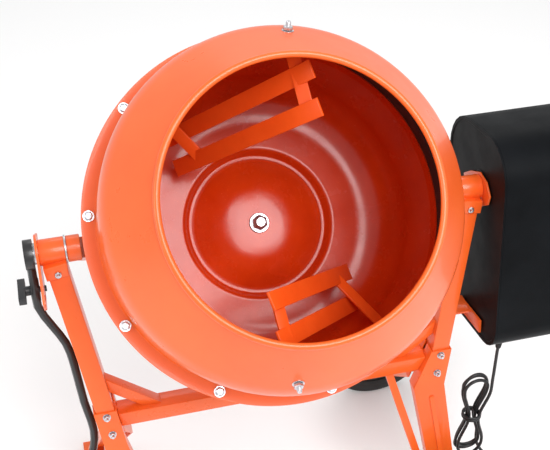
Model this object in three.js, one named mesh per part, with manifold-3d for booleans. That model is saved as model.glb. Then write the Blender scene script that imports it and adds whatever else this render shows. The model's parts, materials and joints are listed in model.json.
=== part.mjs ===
// An electric concrete mixer: a tilting drum in a yoke, on a two-post stand with a pair of wheels.
// Millimetres, +Z up. Everything is built around the tilt axis (the X axis of the machine group), and
// the finished group is then set down with its foot plates on Z = 0.
import * as THREE from 'three';
import { mergeVertices } from 'three/addons/utils/BufferGeometryUtils.js';
import Module from 'manifold-3d';

const wasm = await Module();
wasm.setup();

// ---------------------------------------------------------------- driving dimensions
const gap = 0.3; // between pieces that touch
const running = 0.5; // radial play of what turns
const tiltHeight = 733; // tilt axis above the ground
const drumElevation = 41.54; // mouth direction above the horizontal, degrees

// drum, measured along its own axis from the tilt axis (+ towards the mouth)
const drumSides = 40;
const sheet = 2.2;
const flangeRadius = 300;
const flangeT = 35; // joint plane of the two halves
const skinRadius = 277; // upper half, outside
const skinTop = 168; // where the shoulder starts
const beadRadius = 201.4; // centre of the rolled lip
const beadT = 275;
const beadWire = 5.2;
const spigotRadius = 271.5; // lower half, outside, where it enters the upper half
const spigotTop = 50;
const creaseRadius = 246;
const creaseT = -32;
const floorT = -91;
const stepRadius = 128;
const holeRadius = 114;
const stepDepth = 16;
const baseRise = 21;
const baseRimRadius = 123;
const sealTop = 80;

// mixing blades: two flat strips on two struts, in drum axes (x, y, t)
const stripWidth = 28;
const stripThick = 4;
const strutWidth = 21;
const innerStripNear = [59, 132, 220];
const innerStripFar = [-131, 107, -45];
const outerStripNear = [56, 188, 222];
const outerStripFar = [-138, 157, -43];
const nearStrutAngle = 8; // degrees from the drum's upward direction
const nearStrutT = 198;
const farStrutAngle = 38;
const farStrutT = 4;
const nearStrutReach = 243; // from the drum's axis to its wall
const farStrutReach = 251;

// gearing
const ringTeeth = 106;
const pinionTeeth = 8;
const ringFaceRadius = 285; // where the pinion runs
const ringInner = 274;
const ringOuter = 296.5;
const addendum = 3.5;
const dedendum = 4.2;
const toothShare = 0.43; // tooth thickness over pitch
const pressureSlope = Math.tan(THREE.MathUtils.degToRad(20));
const pinionRadius = ringFaceRadius * pinionTeeth / ringTeeth;

// cradle
const yokeTube = 34;
const yokeWall = 3;
const yokeReach = 158; // centre of the rear crosspiece behind the tilt axis
const sleeveRadius = 21;
const trunnionRadius = 17;
const sleeveInnerX = 303.5;
const yokeSleeveLength = 22;
const pivotWasher = 2.5;
const postSleeveLength = 40;
const axleRadius = 15;
const bearingRadius = 26;
const bearingWidth = 15;
const bossRadius = 36;
const bossFront = -126;
const bossRear = -190;

// stand
const postWidth = 32;
const postDepth = 50;
const postWall = 3;
const postX = 348; // at the tilt axis
const postLean = 0.151; // forwards per mm down
const postSplay = 0.1427; // inwards per mm down
const postTop = -23;
const postFoot = -396;
const barHeight = 31;
const barDepth = 34;
const barTop = -319;
const gussetRise = 62;
const gussetRun = 74;
const gussetWidth = 20;
const legTop = -303;
const legBend = -379;
const legPlate = 3;
const legFlange = 24;
const legFlare = 21;
const flareDrop = 50; // below the bend, on the lever side
const legFootWidth = 44;
const legOutward = 0.125; // sideways per mm down below the bend
const frontLegRun = 0.33; // forwards per mm down
const rearLegRun = 1;
const leftRearLegRun = 0.75;
const footPlate = 5;

// wheels, each on a stub axle through its leg, on the motor side
const wheelRadius = 115;
const tyreWidth = 40;
const rimRadius = 80;
const axleRodRadius = 8;

// thin brace from the crossbar to the front leg on the motor side
const braceX = 212;
const braceFootZ = -536;
const braceWidth = 14;
const braceDepth = 9;

// drive housing
const shaftRadius = 10;
const backPlate = 3;
const coverDepth = 176;
const coverWall = 3;
const housingLean = 9.9; // degrees, forwards going down
const housingFront = -92; // edges in the leaning housing's own directions
const housingRear = 134;
const housingTop = 101;
const housingBottom = -289;
const topCorner = 75;
const bottomCorner = 46;
const bigPulleyRadius = 74;
const smallPulleyRadius = 11;
const pulleyWidth = 16;
const beltThick = 3.5;
const beltWidth = 10;
const beltOffset = 20; // middle of the belt behind the back plate's face
const motorBack = 10; // motor's axis, in the housing's own directions
const motorDown = -196;
const motorRadius = 58;
const motorLength = 118;
const strapWidth = 25;
const strapThick = 4;
const mountPlate = 3.5;

// tilt lever
const quadrantRadius = 90;
const slotRadius = 72;
const slotHalfWidth = 5.5;
const tiltDown = 60;
const tiltUp = 53;
const leverRadius = 7;
const leverX = -388;
const gripRadius = 14;
const gripLength = 110;
const lockPinRadius = 5;

// mains lead
const cordRadius = 3.1;
const hankX = 384;
const hankY = -78;
const hankTop = -388;
const hankBottom = -588;
const hankWidth = 76;
const hankDepth = 26;

// ---------------------------------------------------------------- materials
const paint = (color) => new THREE.MeshStandardMaterial({ color, roughness: 0.3, metalness: 0.1 });
const orangePaint = paint('#ee6420');
const drumPaint = paint('#c5400f');
const steel = new THREE.MeshStandardMaterial({ color: '#b9bcc0', roughness: 0.3, metalness: 0.9 });
const castIron = new THREE.MeshStandardMaterial({ color: '#4a4a4c', roughness: 0.6, metalness: 0.6 });
const blackPlastic = new THREE.MeshStandardMaterial({ color: '#17191c', roughness: 0.45, metalness: 0 });
const rubber = new THREE.MeshStandardMaterial({ color: '#101112', roughness: 0.8, metalness: 0 });
const blackSteel = new THREE.MeshStandardMaterial({ color: '#141518', roughness: 0.4, metalness: 0.4 });
const green = new THREE.MeshStandardMaterial({ color: '#1f8a3b', roughness: 0.4, metalness: 0 });
const red = new THREE.MeshStandardMaterial({ color: '#c3201c', roughness: 0.4, metalness: 0 });

// ---------------------------------------------------------------- solids
const degrees = THREE.MathUtils.degToRad;
const vec = (x, y, z) => new THREE.Vector3(x, y, z);

function toSolid(geometry) {
  const bare = geometry.clone();
  bare.deleteAttribute('normal');
  bare.deleteAttribute('uv');
  const merged = mergeVertices(bare, 1e-4);
  const vertProperties = new Float32Array(merged.attributes.position.array);
  const triVerts = new Uint32Array(merged.index.array);
  return new wasm.Manifold(new wasm.Mesh({ numProp: 3, vertProperties, triVerts }));
}

function toGeometry(solid) {
  const mesh = solid.getMesh();
  const geometry = new THREE.BufferGeometry();
  geometry.setAttribute('position', new THREE.BufferAttribute(new Float32Array(mesh.vertProperties), 3));
  geometry.setIndex(new THREE.BufferAttribute(new Uint32Array(mesh.triVerts), 1));
  geometry.computeVertexNormals();
  return geometry;
}

const join = (...solids) => solids.reduce((a, b) => a.add(b));
const cut = (solid, ...tools) => tools.reduce((a, b) => a.subtract(b), solid);

function moved(solid, matrix) {
  return solid.transform(matrix.elements.slice());
}

const placed = (solid, x, y, z) => moved(solid, new THREE.Matrix4().setPosition(x, y, z));

// A frame whose Z runs along `direction` and whose X stays as close to `side` as it can.
function frameAlong(origin, direction, side) {
  const z = direction.clone().normalize();
  const x = side.clone().addScaledVector(z, -side.dot(z)).normalize();
  const y = z.clone().cross(x);
  return new THREE.Matrix4().makeBasis(x, y, z).setPosition(origin);
}

function prism(points, length, holes = []) {
  const shape = new THREE.Shape(points.map(([x, y]) => new THREE.Vector2(x, y)));
  shape.holes = holes.map((hole) => new THREE.Path(hole.map(([x, y]) => new THREE.Vector2(x, y))));
  return toSolid(new THREE.ExtrudeGeometry(shape, { depth: length, bevelEnabled: false }));
}

// A section pulled along a curve.
const alongPath = (section, extrudePath, steps) =>
  toSolid(new THREE.ExtrudeGeometry(section, { steps, extrudePath, bevelEnabled: false }));

const rectangle = (w, h) => [[-w / 2, -h / 2], [w / 2, -h / 2], [w / 2, h / 2], [-w / 2, h / 2]];

function ring(radius, count, turn = 0) {
  return Array.from({ length: count }, (_, i) => {
    const angle = (i / count) * 2 * Math.PI + turn;
    return [radius * Math.cos(angle), radius * Math.sin(angle)];
  });
}

// A straight bar or tube between two points; `side` is the direction of its width.
function bar(start, end, side, width, depth, wall = 0) {
  const holes = wall ? [rectangle(width - 2 * wall, depth - 2 * wall)] : [];
  const length = start.distanceTo(end);
  return moved(prism(rectangle(width, depth), length, holes), frameAlong(start, end.clone().sub(start), side));
}

// A round bar, or a tube when `bore` is given.
function rod(start, end, radius, sides = 24, bore = 0) {
  const direction = end.clone().sub(start);
  const side = Math.abs(direction.x) > Math.abs(direction.z) ? vec(0, 1, 0) : vec(1, 0, 0);
  const holes = bore ? [ring(bore, sides)] : [];
  return moved(prism(ring(radius, sides), direction.length(), holes), frameAlong(start, direction, side));
}

const rodX = (x0, x1, radius, sides = 24, bore = 0, y = 0, z = 0) =>
  rod(vec(x0, y, z), vec(x1, y, z), radius, sides, bore);

// A turned solid about +Z from a closed or axis-to-axis outline of [radius, height].
function turned(outline, sides) {
  const closes = outline[0][0] > 1e-6;
  const points = outline.map(([r, t]) => new THREE.Vector2(r, t));
  if (closes) points.push(points[0].clone());
  const area = points.reduce((sum, p, i) => {
    const q = points[(i + 1) % points.length];
    return sum + p.x * q.y - q.x * p.y;
  }, 0);
  if (area < 0) points.reverse();
  const geometry = new THREE.LatheGeometry(points, sides);
  geometry.rotateX(Math.PI / 2);
  return toSolid(geometry);
}

// The closed outline of a sheet that follows `path`, its thickness laid to the left of it.
function sheetOutline(path, thickness) {
  const normals = path.slice(1).map(([r, t], i) => {
    const [dr, dt] = [r - path[i][0], t - path[i][1]];
    const length = Math.hypot(dr, dt);
    return [-dt / length, dr / length];
  });
  const offset = path.map(([r, t], i) => {
    const a = normals[Math.max(i - 1, 0)];
    const b = normals[Math.min(i, normals.length - 1)];
    const scale = thickness / (1 + a[0] * b[0] + a[1] * b[1]);
    return [r + (a[0] + b[0]) * scale, t + (a[1] + b[1]) * scale];
  });
  return [...path, ...offset.reverse()];
}

function arc(cx, cy, radius, from, to, steps) {
  return Array.from({ length: steps + 1 }, (_, i) => {
    const angle = degrees(from + ((to - from) * i) / steps);
    return [cx + radius * Math.cos(angle), cy + radius * Math.sin(angle)];
  });
}

// A solid with a rectangular section at each end: [x0, x1, y0, y1, z] twice, lower end first.
function tapered(low, high) {
  const corners = (e) => [[e[0], e[2], e[4]], [e[1], e[2], e[4]], [e[1], e[3], e[4]], [e[0], e[3], e[4]]];
  const geometry = new THREE.BufferGeometry();
  const position = new Float32Array([...corners(low), ...corners(high)].flat());
  geometry.setAttribute('position', new THREE.BufferAttribute(position, 3));
  geometry.setIndex([0, 2, 1, 0, 3, 2, 4, 5, 6, 4, 6, 7, 0, 1, 5, 0, 5, 4, 1, 2, 6, 1, 6, 5,
    2, 3, 7, 2, 7, 6, 3, 0, 4, 3, 4, 7]);
  return toSolid(geometry);
}

// ---------------------------------------------------------------- scene graph
const machine = new THREE.Group();
const drumAxes = new THREE.Group();
drumAxes.rotation.x = degrees(90 - drumElevation);
machine.add(drumAxes);

function add(name, solid, material, parent = machine) {
  const mesh = new THREE.Mesh(toGeometry(solid), material);
  mesh.name = name;
  parent.add(mesh);
  return mesh;
}

const inDrum = (name, solid, material) => add(name, solid, material, drumAxes);

// ---------------------------------------------------------------- drum
const upperFlangeT = flangeT + gap;
const lowerFlangeT = flangeT - sheet;
const ringBack = lowerFlangeT - gap;
const ringRoot = pinionRadius + dedendum;

function upperHalf() {
  const shoulder = arc(skinRadius - 30, skinTop - 8, 30, 3, 32, 2);
  const skin = [
    [skinRadius, upperFlangeT],
    [skinRadius, sealTop],
    ...shoulder,
    [beadRadius + beadWire * 0.4, beadT - beadWire * 0.4],
  ];
  const shell = turned(sheetOutline(skin, sheet), drumSides);
  const lip = turned(ring(beadWire, 8).map(([x, y]) => [beadRadius + x, beadT + y]), drumSides);
  const flange = turned([
    [skinRadius - 0.5, upperFlangeT],
    [flangeRadius, upperFlangeT],
    [flangeRadius, upperFlangeT + sheet],
    [skinRadius - 0.5, upperFlangeT + sheet],
  ], drumSides);
  return join(shell, lip, flange);
}

function lowerHalf() {
  const corner = arc(creaseRadius - 76, floorT + 70, 78, 270, 348, 4);
  const skin = [
    [holeRadius, floorT - stepDepth],
    [holeRadius + 7, floorT - stepDepth],
    [stepRadius, floorT - 3],
    [stepRadius + 4, floorT],
    ...corner,
    [creaseRadius + 2, creaseT + 12],
    [spigotRadius - 2, flangeT - 12],
    [spigotRadius, flangeT - 6],
    [spigotRadius, spigotTop],
  ];
  const shell = turned(sheetOutline(skin, sheet), drumSides);
  const flange = turned([
    [spigotRadius - 0.5, lowerFlangeT],
    [flangeRadius, lowerFlangeT],
    [flangeRadius, flangeT],
    [spigotRadius - 0.5, flangeT],
  ], drumSides);
  return join(shell, flange);
}

function drumSeal() {
  const inner = spigotRadius + gap;
  const outer = skinRadius - sheet - gap;
  return turned([
    [inner, flangeT + 1],
    [outer, flangeT + 1],
    [outer, sealTop],
    [inner, sealTop],
  ], drumSides);
}

function basePlate() {
  const rimT = floorT - stepDepth - gap - sheet;
  const flat = 34;
  const dome = Array.from({ length: 5 }, (_, i) => {
    const r = holeRadius - 4 - (holeRadius - 4 - flat) * (i / 4);
    const share = (holeRadius - 4 - r) / (holeRadius - 4 - flat);
    return [r, rimT + baseRise * Math.sin((share * Math.PI) / 2)];
  });
  const path = [[baseRimRadius, rimT], ...dome, [axleBolt + gap, rimT + baseRise]];
  return turned(sheetOutline(path.reverse(), sheet), drumSides);
}

const axleBolt = 8;
const basePlateCentre = floorT - stepDepth - gap - sheet + baseRise;

function ringGear() {
  const pitch = (2 * Math.PI) / ringTeeth;
  const pitchLength = pitch * ringFaceRadius;
  const half = (depth) => (toothShare * pitchLength / 2 + depth * pressureSlope) / ringFaceRadius;
  const tip = pinionRadius - addendum;
  const stations = [];
  for (let tooth = 0; tooth < ringTeeth; tooth += 1) {
    const centre = (tooth + 0.5) * pitch;
    stations.push([centre - half(dedendum), ringRoot], [centre - half(-addendum), tip]);
    stations.push([centre + half(-addendum), tip], [centre + half(dedendum), ringRoot]);
  }
  const position = [];
  for (const [angle, t] of stations) {
    const [c, s] = [Math.cos(angle), Math.sin(angle)];
    position.push(ringInner * c, ringInner * s, t, ringOuter * c, ringOuter * s, t);
    position.push(ringOuter * c, ringOuter * s, ringBack, ringInner * c, ringInner * s, ringBack);
  }
  const index = [];
  stations.forEach((_, i) => {
    const a = 4 * i;
    const b = 4 * ((i + 1) % stations.length);
    for (let k = 0; k < 4; k += 1) {
      const n = (k + 1) % 4;
      index.push(a + k, b + n, a + n, a + k, b + k, b + n);
    }
  });
  const geometry = new THREE.BufferGeometry();
  geometry.setAttribute('position', new THREE.BufferAttribute(new Float32Array(position), 3));
  geometry.setIndex(index);
  return toSolid(geometry);
}

// One ladder-shaped blade in drum axes; the second one is the same blade half a turn on.
function mixingBlade() {
  const strip = (near, far) => {
    const [a, b] = [vec(...near), vec(...far)];
    return bar(a, b, vec(0.25, -0.97, 0), stripWidth, stripThick);
  };
  const strut = (angle, t, reach, towards) => {
    const radial = vec(Math.sin(degrees(angle)), Math.cos(degrees(angle)), 0);
    const outer = radial.clone().multiplyScalar(reach).setZ(t);
    return bar(outer, vec(...towards), vec(0.82, 0.1, 0.5), strutWidth, stripThick);
  };
  const along = (near, far, t) => {
    const share = (t - near[2]) / (far[2] - near[2]);
    return near.map((v, i) => v + (far[i] - v) * share);
  };
    return join(
    strip(innerStripNear, innerStripFar),
    strip(outerStripNear, outerStripFar),
    strut(nearStrutAngle, nearStrutT, nearStrutReach, along(innerStripNear, innerStripFar, nearStrutT)),
    strut(-farStrutAngle, farStrutT, farStrutReach, along(innerStripNear, innerStripFar, farStrutT)),
  );
}

inDrum('drum_upper', upperHalf(), orangePaint);
inDrum('drum_lower', lowerHalf(), drumPaint);
inDrum('drum_seal', drumSeal(), rubber);
inDrum('base_plate', basePlate(), drumPaint);
inDrum('ring_gear', ringGear(), castIron);
inDrum('blade_a', mixingBlade(), drumPaint);
inDrum('blade_b', mixingBlade(), drumPaint).rotation.z = Math.PI;

// axle: a stud through the base plate, a flange behind it and the shaft that runs in the yoke
const axleEnd = bossRear - 22;
const stud = turned([
  [0, axleEnd],
  [axleRadius - 4, axleEnd],
  [axleRadius - 4, bossRear - 3],
  [axleRadius, bossRear - 3],
  [axleRadius, basePlateCentre - gap - 12],
  [30, basePlateCentre - gap - 12],
  [30, basePlateCentre - gap],
  [axleBolt, basePlateCentre - gap],
  [axleBolt, basePlateCentre + sheet + 20],
  [0, basePlateCentre + sheet + 20],
], 24);
inDrum('drum_axle', stud, steel);
const nutFace = basePlateCentre + sheet + gap;
const hubNut = join(
  moved(prism(ring(17, 20), 3, [ring(axleBolt + gap, 12)]), new THREE.Matrix4().setPosition(0, 0, nutFace)),
  moved(prism(ring(13.5, 6), 12, [ring(axleBolt + gap, 12)]), new THREE.Matrix4().setPosition(0, 0, nutFace + 2.5)),
);
inDrum('hub_nut', hubNut, steel);
const axleNut = prism(ring(20, 6), 12, [ring(axleRadius - 4 + gap, 16)]);
inDrum('axle_nut', moved(axleNut, new THREE.Matrix4().setPosition(0, 0, bossRear - 5 - 12)), steel);

// ---------------------------------------------------------------- cradle
function yoke() {
  const armX = sleeveInnerX + yokeSleeveLength - yokeTube / 2;
  const side = [
    [armX, -12], [armX - 5, -56], [armX - 19, -98], [armX - 58, -134], [armX - 138, -154], [60, -yokeReach],
  ];
  const points = [...side, ...side.slice().reverse().map(([x, t]) => [-x, t])];
  const path = new THREE.CatmullRomCurve3(points.map(([x, t]) => vec(x, 0, t)), false, 'centripetal');
  const section = new THREE.Shape(rectangle(yokeTube, yokeTube).map(([x, y]) => new THREE.Vector2(x, y)));
  const tube = alongPath(section, path, 26);
  const boss = placed(prism(ring(bossRadius, 30), bossFront - bossRear), 0, 0, bossRear);
  const bore = moved(
    prism(ring(bearingRadius + gap, 30), bossFront - bossRear + 2),
    new THREE.Matrix4().setPosition(0, 0, bossRear - 1),
  );
  const sleeves = (inward, outward, radius) => [-1, 1].map((s) =>
    rodX(s * (sleeveInnerX - inward), s * (sleeveInnerX + outward), radius, 28));
  const ends = sleeves(0, yokeSleeveLength, sleeveRadius);
  const bores = sleeves(20, 40, trunnionRadius + gap);
  const pinionRoom = rodX(ringInner - 20, ringOuter + 3, ringRoot + 4, 24);
  return cut(join(tube, boss, ...ends), bore, ...bores, pinionRoom);
}

function bearing() {
  return prism(ring(bearingRadius, 30), bearingWidth, [ring(axleRadius + running, 24)]);
}

const yokeOuterX = sleeveInnerX + yokeSleeveLength;
const postSleeveX = yokeOuterX + pivotWasher + 2 * gap;
const postSleeveEnd = postSleeveX + postSleeveLength;

inDrum('yoke', yoke(), orangePaint);
inDrum('front_bearing', bearing(), steel).position.z = bossFront - 2 - bearingWidth;
inDrum('rear_bearing', bearing(), steel).position.z = bossRear + 2;
const leverHubX = -(postSleeveEnd + gap + 4 + 4);
const leftPin = rodX(-sleeveInnerX, leverHubX - 14, trunnionRadius, 28);
add('left_trunnion', leftPin, steel);
const rightPin = rodX(sleeveInnerX, postSleeveEnd, trunnionRadius, 28, shaftRadius + 1);
add('right_trunnion', rightPin, steel);
[-1, 1].forEach((s) => {
  const start = s * (yokeOuterX + gap);
  const washer = rodX(start, start + s * pivotWasher, sleeveRadius + 2, 28, trunnionRadius + running);
  add(s < 0 ? 'left_pivot_washer' : 'right_pivot_washer', washer, steel);
});

const leverBeforeEnd = vec(leverX + 40, -68, -450);
const leverEnd = vec(leverX + 34, -74, -500);

// tilt lever: a hub on the left trunnion, a bent tube down beside the post, and a grip
function tiltLever() {
  const hub = rodX(leverHubX, leverHubX - 14, 24, 24);
  const block = bar(
    vec(leverHubX - 7, 0, -slotRadius - 13),
    vec(leverHubX - 7, 0, -slotRadius + 13),
    vec(1, 0, 0), 14, 26,
  );
  const path = new THREE.CatmullRomCurve3([
    vec(leverHubX - 7, 0, -12),
    vec(leverHubX - 7, -8, -60),
    vec(leverHubX - 7, -14, -96),
    vec(leverX + 20, -20, -134),
    vec(leverX + 39, -28, -176),
    vec(leverX + 51, -45, -290),
    vec(leverX + 60, -57, -370),
    leverBeforeEnd,
    leverEnd,
  ], false, 'centripetal');
  const section = new THREE.Shape(ring(leverRadius, 8).map(([x, y]) => new THREE.Vector2(x, y)));
  const tube = alongPath(section, path, 24);
  const bore = rodX(leverHubX + 1, leverHubX - 16, trunnionRadius + gap, 28);
  const pinBore = rodX(leverHubX + 1, leverHubX - 40, lockPinRadius + running, 12, 0, 0, -slotRadius);
  return cut(join(hub, block, tube), bore, pinBore);
}

function leverGrip() {
  const run = leverEnd.clone().sub(leverBeforeEnd).normalize();
  const start = leverEnd.clone().addScaledVector(run, 1);
  return rod(start, leverEnd.clone().addScaledVector(run, gripLength), gripRadius, 14);
}

// a round disc with an arc slot for the clamp; fixed to the post's sleeve
function lockQuadrant() {
  const disc = [];
  const from = -90 - tiltUp - 14;
  const to = -90 + tiltDown + 14;
  disc.push(...arc(0, 0, quadrantRadius, from, to, 20), ...arc(0, 0, 30, to + 20, from + 340, 10));
  const slot = [
    ...arc(0, 0, slotRadius + slotHalfWidth, -90 - tiltUp - 5, -90 + tiltDown + 5, 16),
    ...arc(0, 0, slotRadius - slotHalfWidth, -90 + tiltDown + 5, -90 - tiltUp - 5, 16),
  ];
  const plate = prism(disc, 4, [slot, ring(trunnionRadius + running, 24)]);
  // the plate's own X and Y become the machine's Y and Z
  const turn = new THREE.Matrix4().makeBasis(vec(0, 1, 0), vec(0, 0, 1), vec(1, 0, 0));
  return moved(plate, turn.setPosition(-(postSleeveEnd + gap) - 4, 0, 0));
}

function lockKnob() {
  const x0 = leverHubX + 4 + 4 + 3;
  const pin = rodX(x0, leverHubX - 20, lockPinRadius, 12, 0, 0, -slotRadius);
  const collar = rodX(leverHubX - 14 - gap, leverHubX - 24, 8, 12, 0, 0, -slotRadius);
  const wings = placed(prism(rectangle(12, 52), 12), leverHubX - 28, 0, -slotRadius - 6);
  return join(pin, collar, wings);
}

add('tilt_lever', tiltLever(), blackSteel);
add('lever_grip', leverGrip(), rubber);
add('lock_quadrant', lockQuadrant(), orangePaint);
add('lock_knob', lockKnob(), blackPlastic);

// ---------------------------------------------------------------- stand
const postPoint = (side, z) => vec(side * (postX + z * postSplay), z * postLean, z);

function post(side) {
  return bar(postPoint(side, postFoot), postPoint(side, postTop), vec(1, 0, 0), postWidth, postDepth, postWall);
}

const postEnvelope = (side, grow) =>
  bar(
    postPoint(side, postFoot - 60), postPoint(side, postTop + 2),
    vec(1, 0, 0), postWidth + 2 * grow, postDepth + 2 * grow,
  );

// a saddle over the post's top that carries the pivot sleeve
function pivotSleeve(side) {
  const sleeve = rodX(side * postSleeveX, side * postSleeveEnd, sleeveRadius, 28);
  const cap = bar(
    postPoint(side, postTop - 11), postPoint(side, postTop + 11),
    vec(1, 0, 0), postWidth + 7, postDepth + 7,
  );
  const solid = cut(join(sleeve, cap), postEnvelope(side, gap));
  const keep = rodX(side * postSleeveX, side * postSleeveEnd, 90, 4);
  return cut(solid.intersect(keep), rodX(side * 300, side * 400, trunnionRadius + running, 28));
}

function bearingPlate() {
  const outline = [[-12, -36], [-41, -12], [-44, 6], [-25, 23], [3, 26], [36, 8], [60, -12], [54, -36]];
  return upright(outline, postSleeveEnd + gap, mountPlate, [ring(trunnionRadius + running, 24)]);
}

function crossbar() {
  const z = barTop - barHeight / 2;
  const y = z * postLean;
  const reach = postX + z * postSplay;
  const beam = bar(vec(-reach, y, z), vec(reach, y, z), vec(0, 0, 1), barHeight, barDepth, postWall);
  const legs = [-1, 1].flatMap((side) => [-1, 1].map((face) => legBody(side, face, frontLegRun, postFoot, gap)));
  return cut(beam, postEnvelope(-1, gap), postEnvelope(1, gap), ...legs);
}

function gusset(side) {
  const low = barTop + gap;
  const top = low + gussetRise;
  const y = (z) => z * postLean;
  const inner = (z) => postX + z * postSplay - postWidth / 2;
  const start = vec(side * (inner(top) + 20), y(top - 20), top + 12);
  const end = vec(side * (inner(low) - gussetRun), y(low), low - 8);
  const beam = bar(start, end, vec(0, 1, 0), gussetWidth, gussetWidth);
  const rail = bar(
    vec(-400, y(barTop - barHeight / 2), barTop - barHeight / 2),
    vec(400, y(barTop - barHeight / 2), barTop - barHeight / 2),
    vec(0, 0, 1), barHeight + 2 * gap, 120,
  );
  return cut(beam, postEnvelope(side, gap), rail);
}

// Where a leg's skin is: wrapped round the post above the bend, running out to the ground below it.
function legSkin(side, face, run, z) {
  const bent = Math.min(0, z - legBend);
  const upright = Math.max(z, legBend);
  return {
    x: side * (postX + upright * postSplay - bent * legOutward),
    y: upright * postLean + face * (postDepth / 2 + gap + legPlate - bent * run),
  };
}

// The cross-sections [x0, x1, y0, y1, z] of a leg, lowest first.
// `side` is -1 left and 1 right, `face` -1 front and 1 rear.
function legSections(side, face, run, endZ) {
  const half = postWidth / 2 + gap + legPlate;
  const section = (z, inner, outer) => {
    const { x, y } = legSkin(side, face, run, z);
    const lateral = side > 0 ? [x - inner, x + outer] : [x - outer, x + inner];
    const back = y - face * legFlange;
    return [...lateral, Math.min(y, back), Math.max(y, back), z];
  };
  const wide = half + legFlare;
  const trim = (wide + half - legFootWidth) / 2;
  const flare = side > 0 ? [section(legBend, wide, half)]
    : [section(legBend - flareDrop, wide, half), section(legBend, half, half)];
  return [
    section(endZ, wide - trim, half - trim),
    ...flare,
    section(legTop, half, half),
  ];
}

const stack = (sections) => join(...sections.slice(1).map((high, i) => tapered(sections[i], high)));

function legBody(side, face, run, endZ, grow) {
  return stack(legSections(side, face, run, endZ).map(([x0, x1, y0, y1, z]) =>
    [x0 - grow, x1 + grow, y0 - grow, y1 + grow, z > legTop - 1 ? z + grow : z]));
}

// A pressed channel leg, open towards the other leg of its pair.
function leg(side, face, run, endZ) {
  const open = 60;
  const hollow = legSections(side, face, run, endZ).map(([x0, x1, y0, y1, z], i, { length }) => [
    x0 + legPlate,
    x1 - legPlate,
    face < 0 ? y0 + legPlate : y0 - open,
    face < 0 ? y1 + open : y1 - legPlate,
    z + Number(i === length - 1) - Number(i === 0),
  ]);
  return cut(legBody(side, face, run, endZ, 0), stack(hollow), postEnvelope(side, gap));
}

function groundLeg(face, run) {
  const endZ = -tiltHeight + footPlate;
  const { x, y } = legSkin(-1, face, run, endZ);
  const plate = bar(
    vec(x + legFlare / 2, y - face * 12, -tiltHeight),
    vec(x + legFlare / 2, y - face * 12, endZ + gap),
    vec(1, 0, 0), legFootWidth + 16, 62,
  );
  return join(leg(-1, face, run, endZ), plate);
}

const axleZ = -tiltHeight + wheelRadius;
const axleLegEnd = axleZ - 3 * axleRodRadius;
const axleSpot = (face, run) => legSkin(1, face, run, axleZ);
const axleX = axleSpot(-1, frontLegRun).x - legFlare / 2;

function axleLeg(face, run) {
  const solid = leg(1, face, run, axleLegEnd);
  const { y } = axleSpot(face, run);
  return cut(solid, rod(vec(axleX, y - 90, axleZ), vec(axleX, y + 90, axleZ), axleRodRadius + gap, 16));
}

function brace() {
  const startZ = barTop - barHeight - gap;
  const { x, y } = legSkin(1, -1, frontLegRun, braceFootZ);
  const inward = postWidth / 2 + legFlare + legPlate + gap + braceWidth;
  const start = vec(braceX, startZ * postLean, startZ);
  const end = vec(x - inward + 4, y + legFlange / 2, braceFootZ);
  const run = end.clone().sub(start).normalize();
  const beam = bar(start.clone().addScaledVector(run, -12), end, vec(1, 0, 0), braceWidth, braceDepth);
  const above = bar(vec(-400, start.y, startZ + 20), vec(400, start.y, startZ + 20), vec(0, 0, 1), 40, 200);
  return cut(beam, above);
}

add('left_post', post(-1), orangePaint);
add('right_post', post(1), orangePaint);
add('crossbar', crossbar(), orangePaint);
add('left_gusset', gusset(-1), orangePaint);
add('right_gusset', gusset(1), orangePaint);
add('left_pivot_sleeve', pivotSleeve(-1), orangePaint);
add('right_pivot_sleeve', pivotSleeve(1), orangePaint);
add('drive_mount_plate', bearingPlate(), orangePaint);
add('front_left_leg', groundLeg(-1, frontLegRun), orangePaint);
add('rear_left_leg', groundLeg(1, leftRearLegRun), orangePaint);
add('front_right_leg', axleLeg(-1, frontLegRun), orangePaint);
add('rear_right_leg', axleLeg(1, rearLegRun), orangePaint);
add('leg_brace', brace(), orangePaint);

// ---------------------------------------------------------------- wheels
const wheelGap = 5;
const wheelY = (face, run) => legSkin(1, face, run, axleLegEnd).y + face * (wheelGap + tyreWidth / 2);
const frontWheelY = wheelY(-1, frontLegRun);
const rearWheelY = wheelY(1, rearLegRun);

function tyre() {
  const half = tyreWidth / 2;
  return turned([
    [rimRadius + gap, -half + 4],
    [rimRadius + 8, -half],
    [wheelRadius - 12, -half],
    [wheelRadius, -half + 12],
    [wheelRadius, half - 12],
    [wheelRadius - 12, half],
    [rimRadius + 8, half],
    [rimRadius + gap, half - 4],
  ], 24);
}

function wheelHub() {
  const half = tyreWidth / 2;
  const bore = axleRodRadius + running;
  return turned([
    [bore, -half + 1],
    [20, -half + 1],
    [20, -4],
    [rimRadius - 8, -4],
    [rimRadius - 6, -half + 6],
    [rimRadius, -half + 6],
    [rimRadius, half - 6],
    [rimRadius - 6, half - 6],
    [rimRadius - 8, 4],
    [20, 4],
    [20, half - 1],
    [bore, half - 1],
  ], 24);
}

const axleReach = tyreWidth / 2 + 14;
const axleInside = 62; // from the wheel's middle back through the leg
[['front', frontWheelY, -1], ['rear', rearWheelY, 1]].forEach(([name, y, face]) => {
  const pair = [[`${name}_tyre`, tyre(), rubber], [`${name}_wheel_hub`, wheelHub(), blackPlastic]];
  pair.forEach(([label, solid, material]) => {
    const mesh = add(label, solid, material);
    mesh.position.set(axleX, y, axleZ);
    mesh.rotation.x = Math.PI / 2;
  });
  const onAxle = (run) => vec(axleX, y + face * run, axleZ);
  const stub = rod(onAxle(-axleInside), onAxle(axleReach), axleRodRadius, 16);
  add(`${name}_wheel_axle`, stub, steel);
  const start = y + face * (tyreWidth / 2 + 1);
  const cap = rod(vec(axleX, start, axleZ), vec(axleX, start + face * 7, axleZ), 15, 18, axleRodRadius + gap);
  add(`${name}_axle_cap`, cap, steel);
});

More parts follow.
